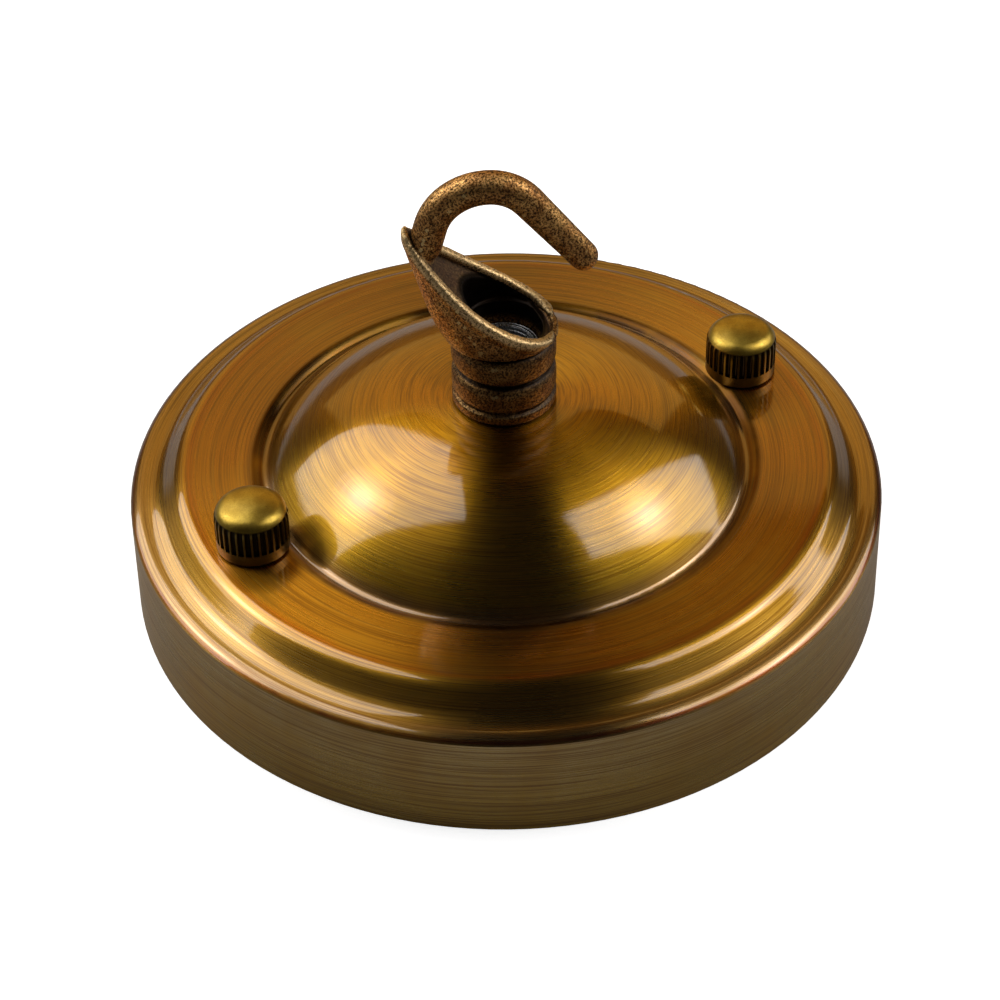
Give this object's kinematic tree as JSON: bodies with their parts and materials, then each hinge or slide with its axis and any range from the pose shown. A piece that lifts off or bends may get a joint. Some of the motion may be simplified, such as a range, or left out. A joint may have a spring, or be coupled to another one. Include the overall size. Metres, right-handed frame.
{
  "type": "ceiling hook",
  "caption": "Pressed metal ceiling cup with a cast lamp hook on a hollow threaded tube, held to a slotted ceiling strap by studs and knurled cap nuts.",
  "frame": {"origin": "centre of the cup's open rim, in the ceiling plane", "axes": "+Z away from the ceiling along the hook's thread, +X along the mounting strap from the left cap nut to the right one"},
  "size_m": [0.108, 0.108, 0.0679],
  "materials": {
    "brushed_brass": "brushed in rings, antique copper-brown",
    "cast_bronze": "antique, dark with worn gold edges",
    "knurled_brass": "antique olive",
    "zinc_steel": "bright zinc"
  },
  "bodies": {
    "root": {"ceiling_cup": "brushed_brass", "hook": "cast_bronze", "threaded_nipple": "zinc_steel", "nipple_washer": "zinc_steel", "nipple_nut": "zinc_steel", "mounting_strap": "zinc_steel", "side_screw_left": "zinc_steel", "side_screw_right": "zinc_steel", "lock_nut_left": "zinc_steel", "lock_nut_right": "zinc_steel", "cap_nut_left": "knurled_brass", "cap_nut_right": "knurled_brass"}
  },
  "joints": []
}
